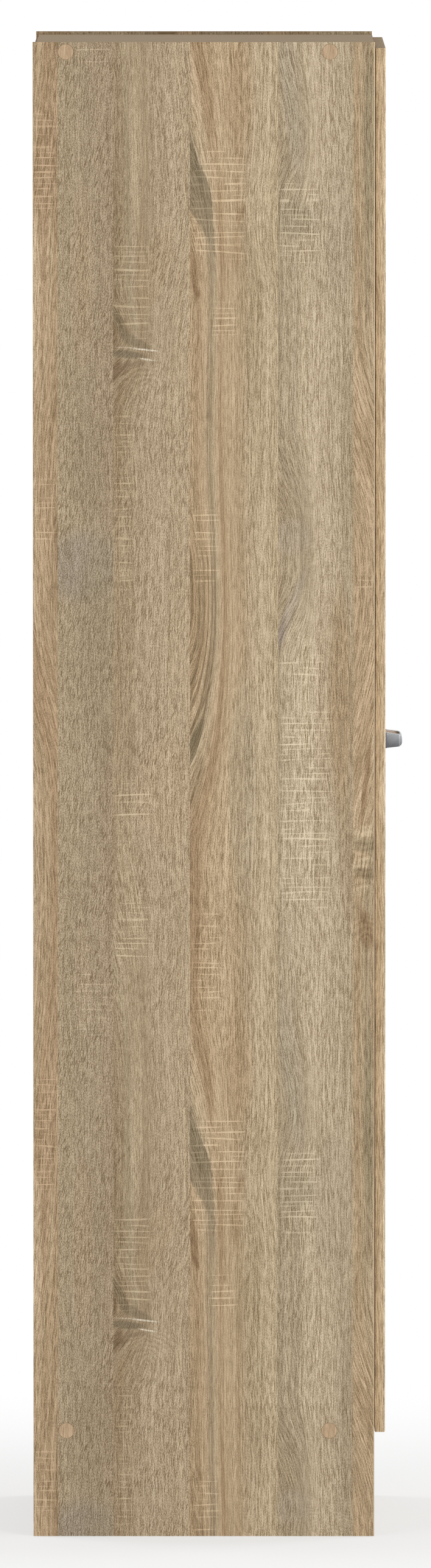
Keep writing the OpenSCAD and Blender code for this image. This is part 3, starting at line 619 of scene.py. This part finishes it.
# Stripes of the door's edge strip, in mm from its back. The two lightest, at the front corner, are
# a painted highlight of the rounded corner. The first, at the back, is lightened as painted light
# against the shade in the gap to the carcass.
stripes = [
    (0, 186, 160, 127), (1.6, 176, 148, 115), (3.3, 177, 151, 117), (5, 180, 154, 119),
    (6.6, 179, 154, 121), (8.2, 183, 158, 126), (9.8, 188, 164, 132), (11.4, 180, 158, 126),
    (12.8, 202, 180, 148), (14, 206, 186, 155)]
dress(edge_strip(
    "door_edge_strip", lambda x, y, z: door_back - y, lambda x, y, z: z + x, stripes, 1.0),
    "door_edging")
broad_stripes = [
    (0, 176, 154, 124), (4, 168, 144, 113), (8, 180, 158, 128), (12, 166, 142, 111),
    (16, 178, 156, 126), (20, 172, 149, 118), (30, 180, 159, 129)]
stripe_repeat = broad_stripes[-1][0]
dress(edge_strip(
    "carcass_edge_strip",
    lambda x, y, z: (half_width - x.size()).math("WRAP", stripe_repeat, 0.0),
    lambda x, y, z: z + x, broad_stripes, 1.0, 0.8), "carcass_edging")
dress(edge_strip(
    "shelf_edge_strip", lambda x, y, z: z.math("WRAP", stripe_repeat, 0.0),
    lambda x, y, z: x + z, broad_stripes), "shelf_edging")

# ---- Back boards ---------------------------------------------------------------------------
# Two sheets of 3 mm hardboard, printed pale on the side that shows and left brown behind.
# They lie in rebates and are nailed all round.

finish = Finish("back_board")
x, y, z = finish.place()
fibre = finish.noise(x / 1.1, z / 14.0)
streak = finish.noise(x / 4.0, z / 160.0)
cloud = finish.noise(x / 60.0, z / 90.0, 2.0)
inner = finish.blend(
    paint(158, 137, 108), paint(196, 176, 146), fibre * 0.20 + streak * 0.18 + cloud * 0.08 + 0.5)
felt = finish.noise(x / 0.9, z / 0.9, 3.0)
hair = finish.noise((x + z) / 0.8, (x - z) / 5.0)
outer = finish.blend(
    paint(112, 86, 60), paint(156, 126, 92), felt * 0.26 + hair * 0.16 + cloud * 0.06 + 0.5)
behind = finish.facing()[1].math("GREATER_THAN", -0.5)
finish.coat(
    finish.blend(inner, outer, behind), behind * 0.25 + 0.5, felt + fibre * 0.5, 0.05,
    Specular_IOR_Level=0.35)
dress(finish, "back_lower", "back_upper")

# ---- Back nails ----------------------------------------------------------------------------
# Flat-headed steel nails, one about every 110 mm, driven through the back boards into the
# sides, the top, the bottom and the middle shelf.

nail_head = 2.4 * MM
nail_proud = 0.6 * MM
nail_spacing = 110 * MM
head_sides = 20
back_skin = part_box("back_upper")[1][1]
inner_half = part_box("top_panel")[1][0]
nail_x = (inner_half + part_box("back_upper")[1][0]) / 2
levels = [
    (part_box("bottom_panel")[0][2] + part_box("bottom_panel")[1][2]) / 2,
    (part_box("fixed_shelf")[0][2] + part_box("back_lower")[1][2]) / 2,
    (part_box("fixed_shelf")[1][2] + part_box("back_upper")[0][2]) / 2,
    (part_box("top_panel")[0][2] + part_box("top_panel")[1][2]) / 2]

finish = Finish("nail_steel")
x, y, z = finish.place()
mottle = finish.noise(x / 1.5, z / 1.5, 3.0)
finish.coat(
    finish.blend(paint(150, 150, 150), paint(196, 196, 192), mottle * 0.3 + 0.5),
    mottle * 0.08 + 0.36, finish.noise(x / 0.4, z / 0.4, 2.0), 0.02, Metallic=1.0)
nail_steel = finish.material

group = bpy.data.node_groups.new("nails_round_a_board", "GeometryNodeTree")
sockets = {}
for name, kind in [
        ("Width", "NodeSocketFloat"), ("Height", "NodeSocketFloat"),
        ("Spacing", "NodeSocketFloat"), ("Middle", "NodeSocketVector")]:
    sockets[name] = group.interface.new_socket(name, in_out="INPUT", socket_type=kind)
group.interface.new_socket("Nails", in_out="OUTPUT", socket_type="NodeSocketGeometry")
tree = Tree(group)
given = tree.named("NodeGroupInput")
outline = tree.node("GeometryNodeCurvePrimitiveQuadrilateral", {"mode": "RECTANGLE"}, {
    "Width": given["Width"], "Height": given["Height"]})
spots = tree.node("GeometryNodeResampleCurve", {"mode": "LENGTH"}, {
    "Curve": outline, "Length": given["Spacing"]})
head = tree.node("GeometryNodeMeshCone", {}, {
    "Vertices": head_sides, "Side Segments": 1, "Fill Segments": 2, "Radius Top": nail_head * 0.78,
    "Radius Bottom": nail_head, "Depth": nail_proud * 0.5})
rim = tree.node("GeometryNodeMeshCylinder", {}, {
    "Vertices": head_sides, "Radius": nail_head, "Depth": nail_proud * 0.6})
rim = tree.node("GeometryNodeTransform", {}, {
    "Geometry": rim, "Translation": (0.0, 0.0, nail_proud * -0.3)})
whole = tree.node("GeometryNodeJoinGeometry", {}, {})
tree.feed(whole.socket.node.inputs[0], head)
tree.feed(whole.socket.node.inputs[0], rim)
stood = tree.node("GeometryNodeInstanceOnPoints", {}, {"Points": spots, "Instance": whole})
turned_up = tree.node("GeometryNodeTransform", {}, {
    "Geometry": stood, "Rotation": (math.radians(-90), 0.0, 0.0),
    "Translation": given["Middle"]})
solid = tree.node("GeometryNodeRealizeInstances", {}, {"Geometry": turned_up})
plated = tree.node("GeometryNodeSetMaterial", {}, {"Geometry": solid, "Material": nail_steel})
tree.node("NodeGroupOutput", {}, {0: plated})

for name, low, high in [
        ("lower_back_nails", levels[0], levels[1]), ("upper_back_nails", levels[2], levels[3])]:
    seed = bpy.data.objects.new(name + "_seed", bpy.data.meshes.new(name + "_seed"))
    bpy.context.scene.collection.objects.link(seed)
    modifier = seed.modifiers.new("nails", "NODES")
    modifier.node_group = group
    modifier[sockets["Width"].identifier] = 2 * nail_x
    modifier[sockets["Height"].identifier] = high - low
    modifier[sockets["Spacing"].identifier] = nail_spacing
    modifier[sockets["Middle"].identifier] = (
        0.0, back_skin + nail_proud * 0.45, (low + high) / 2)
    bpy.context.view_layer.update()
    graph = bpy.context.evaluated_depsgraph_get()
    mesh = bpy.data.meshes.new_from_object(seed.evaluated_get(graph))
    seed.modifiers.remove(modifier)
    bpy.data.objects.remove(seed)
    nails = bpy.data.objects.new(name, mesh)
    bpy.context.scene.collection.objects.link(nails)
    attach(nails, "carcass")

# ---- Connecting screws and cover caps ------------------------------------------------------
# Long steel screws with a coarse thread join the sides to the top and bottom. A round plastic
# cap, printed to match the boards, hides each head on the outside.

finish = Finish("screw_zinc")
x, y, z = finish.place()
mottle = finish.noise((x + y) / 3.0, z / 3.0, 3.0)
finish.coat(
    finish.blend(paint(168, 166, 160), paint(206, 205, 200), mottle * 0.3 + 0.5),
    mottle * 0.07 + 0.33, mottle, 0.01, Metallic=1.0)
screw_zinc = finish
dress(screw_zinc, "connecting_screws")

caps_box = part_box("cover_caps")
caps_y = (caps_box[0][1] + caps_box[1][1]) / 2 / MM
caps_z = (caps_box[0][2] + caps_box[1][2]) / 2 / MM
cap_radius = 10.5
out_y = (caps_box[1][1] - caps_box[0][1]) / 2 / MM - cap_radius
out_z = (caps_box[1][2] - caps_box[0][2]) / 2 / MM - cap_radius

finish = Finish("printed_cap")
x, y, z = finish.place()
own_y, own_z = (y - caps_y).size() - out_y, (z - caps_z).size() - out_z
radius = (own_y * own_y + own_z * own_z).math("SQRT")
fibre = finish.noise(y / 0.9, z / 9.0)
streak = finish.noise(y / 2.2, z / 40.0)
fleck = finish.noise(y / 0.7, z / 1.8)
colour = finish.blend(
    paint(160, 130, 96), paint(206, 178, 144),
    fibre * 0.22 + streak * 0.24 + fleck * 0.10 + 0.5)
shadow = radius.rise(cap_radius - 0.9, cap_radius - 0.1) * (streak * 0.3 + 0.5)
colour = finish.blend(colour, paint(118, 92, 62), shadow)
finish.coat(colour, 0.42, fibre + fleck, 0.03, Specular_IOR_Level=0.45)
dress(finish, "cover_caps")

# ---- Dowels --------------------------------------------------------------------------------
# Round beech pins, glued half in a board's end and half in the side. They keep the boards
# level and carry no finish.

finish = Finish("beech")
x, y, z = finish.place()
fibre = finish.noise((y + z) / 0.6, x / 9.0)
ray = finish.noise((y - z) / 0.35, x / 1.6).rise(0.6, 1.0)
beech = finish.blend(paint(198, 158, 116), paint(228, 194, 152), fibre * 0.3 + 0.5)
finish.coat(finish.blend(beech, paint(150, 108, 72), ray * 0.5), 0.62, fibre, 0.03)
dress(finish, "dowels")

# ---- Cams and their bolts ------------------------------------------------------------------
# A steel bolt stands in the side, and a cast zinc cam in the board turns on its head and
# draws the joint tight. The middle shelf and the plinth are held this way.

finish = Finish("cast_zinc")
x, y, z = finish.place()
skin = finish.noise((x + z) / 1.6, (y + z) / 1.6, 3.0)
grit = finish.noise((x + z) / 0.35, (y - z) / 0.35)
finish.coat(
    finish.blend(paint(160, 161, 163), paint(200, 200, 201), skin * 0.2 + 0.5),
    skin * 0.08 + 0.46, skin + grit * 0.5, 0.03, Metallic=1.0)
cast_zinc = finish
dress(cast_zinc, "cam_locks")
dress(screw_zinc, "cam_bolts")

# ---- Shelf pins ----------------------------------------------------------------------------
# Nickel plated pins pushed into a row of holes in each side. A small tongue on each one
# carries the corner of a loose shelf.

finish = Finish("bright_nickel")
x, y, z = finish.place()
haze = finish.noise((x + z) / 4.0, (y + z) / 4.0, 3.0)
scuff = finish.noise((y + x) / 0.3, z / 4.0).rise(0.7, 1.1)
finish.coat(
    finish.blend(paint(186, 184, 178), paint(216, 214, 208), haze * 0.3 + 0.5),
    haze * 0.05 + scuff * 0.10 + 0.22, haze + scuff, 0.01, Metallic=1.0)
bright_nickel = finish
dress(bright_nickel, "shelf_pins")

# ---- Handle --------------------------------------------------------------------------------
# A small cast bow, ground along its length and satin plated. It stands on two feet and is
# held by two screws from behind the door.

handle_low, handle_high = [corner[2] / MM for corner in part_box("handle")]
handle_middle = (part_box("handle")[0][0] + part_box("handle")[1][0]) / 2 / MM
door_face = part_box("door_panel")[0][1] / MM

finish = Finish("satin_bow")
x, y, z = finish.place()
facing = finish.facing()
brush = finish.noise(x / 14.0, (y + z) / 0.22)
haze = finish.noise(x / 9.0, (y + z) / 6.0, 2.0)
# Painted light: the plating is painted dark at the foot and light at the top, as the light falls,
# with the brushed grain over it.
satin_with_painted_light = finish.blend(
    paint(98, 99, 102), paint(168, 169, 171),
    z.rise(handle_low - 2.0, handle_high + 3.0) + brush * 0.12 + haze * 0.08)
# Painted highlights: pale lines along the top edge of the bow and just above its foot.
rim = (z - handle_high).rise(-1.6, -0.5) + (handle_low + 1.4 - z).size().rise(0.7, 0.2) * 0.5
satin_with_painted_light = finish.blend(satin_with_painted_light, paint(206, 206, 205), rim * 0.7)
# Painted shade: the feet are painted dark and bluish within about 2 mm of the door face.
satin_with_painted_light = finish.blend(satin_with_painted_light, paint(112, 118, 130), (y - door_face).rise(-2.2, -1.6) * 0.8)
# Painted reflection: the faces within the bow take a warm pale tone of the door's wood and are
# made less metallic.
inside_reflection = (facing[0] * (handle_middle - x) / 30.0).rise(0.5, 0.9)
satin_with_painted_light = finish.blend(satin_with_painted_light, paint(214, 198, 184), inside_reflection)
finish.coat(satin_with_painted_light, brush * 0.06 + haze * 0.03 + 0.34, brush, 0.012)
finish.feed(finish.surface.inputs["Metallic"], inside_reflection * -0.75 + 1.0)
dress(finish, "handle")
dress(screw_zinc, "handle_screws")

# ---- Hinges --------------------------------------------------------------------------------
# Four concealed hinges. Each has a pressed cup sunk in the door, two links, an arm and a
# plate that is screwed to the side; the moving steel is nickel plated.

finish = Finish("plated_sheet")
x, y, z = finish.place()
haze = finish.noise((x + y) / 5.0, z / 5.0, 3.0)
draw = finish.noise((x + y) / 0.5, z / 12.0)
finish.coat(
    finish.blend(paint(184, 183, 178), paint(212, 210, 205), haze * 0.15 + draw * 0.1 + 0.5),
    haze * 0.03 + draw * 0.03 + 0.28, draw + haze, 0.008, Metallic=1.0)
plated_sheet = finish
dress(plated_sheet, "hinge_cups", "hinge_arms", "outer_links", "inner_links")
dress(bright_nickel, "cup_pins", "arm_pins")
dress(screw_zinc, "cup_screws", "plate_screws", "arm_screws")
dress(cast_zinc, "hinge_plates")

# ---- The studio ----------------------------------------------------------------------------
# A pale floor that runs out into white, even air all round and four large soft lamps.


def to_the_eye(tree, lit, white):
    """The light that something gives off: lit for the cabinet, and white for the eye."""
    rays = tree.named("ShaderNodeLightPath")
    seen = rays["Is Camera Ray"] + rays["Is Glossy Ray"] + rays["Is Transmission Ray"]
    seen = seen.math("MINIMUM", 1.0)
    return seen * (white - lit) + lit


world = bpy.data.worlds.new("studio_air")
world.use_nodes = True
air = Tree(world.node_tree)
background = world.node_tree.nodes["Background"]
air.feed(background.inputs["Color"], (1.0, 1.0, 1.0, 1.0))
air.feed(background.inputs["Strength"], to_the_eye(air, 0.44, 1.0))
bpy.context.scene.world = world

lamp_width = 2.4
lamp_aim = 1.0         # height that the lamps look at


def lamp(name, place, power):
    """A round lamp that looks at the middle of the cabinet."""
    data = bpy.data.lights.new(name, "AREA")
    data.shape = "DISK"
    data.size = lamp_width
    data.energy = power
    made = bpy.data.objects.new(name, data)
    made.location = place
    aim = Vector((0.0, 0.0, lamp_aim)) - Vector(place)
    made.rotation_euler = aim.to_track_quat("-Z", "Y").to_euler()
    bpy.context.scene.collection.objects.link(made)


lamp("left_front_lamp", (-3.3, -2.5, 2.2), 54)
lamp("left_back_lamp", (-3.3, 2.7, 1.2), 38)
lamp("front_lamp", (1.9, -3.7, 2.0), 65)
lamp("back_lamp", (1.6, 3.4, 2.8), 50)

floor_mesh = bpy.data.meshes.new("floor")
reach = 40.0
floor_mesh.from_pydata(
    [(-reach, -reach, 0), (reach, -reach, 0), (reach, reach, 0), (-reach, reach, 0)], [],
    [(0, 1, 2, 3)])
floor = bpy.data.objects.new("floor", floor_mesh)
bpy.context.scene.collection.objects.link(floor)
finish = Finish("pale_floor")
x, y, z = finish.place()
finish.coat((0.9, 0.9, 0.9, 1.0), 0.8)
glow = finish.node("ShaderNodeEmission", {}, {
    "Color": (1.0, 1.0, 1.0, 1.0), "Strength": to_the_eye(finish, 0.72, 1.0)})
radius = (x * x + y * y).math("SQRT")
joined = finish.node("ShaderNodeMixShader", {}, {
    0: radius.rise(300.0, 1700.0) * 0.45 + 0.55,
    1: Wire(finish, finish.surface.outputs[0]),
    2: glow})
finish.feed(finish.tree.nodes["Material Output"].inputs[0], joined)
floor_mesh.materials.append(finish.material)

# ---- The camera ----------------------------------------------------------------------------
# It stands far off on the left of the cabinet, a little above it.

camera_down = math.radians(4.045)
camera_data = bpy.data.cameras.new("camera")
camera_data.lens = 415.9
camera_data.clip_end = 100
camera = bpy.data.objects.new("camera", camera_data)
camera.location = (-24.378, 0.003, 2.716)
camera.rotation_euler = (math.radians(90) - camera_down, 0, math.radians(-90))
bpy.context.scene.collection.objects.link(camera)
bpy.context.scene.camera = camera
bpy.context.scene.view_settings.view_transform = "Standard"
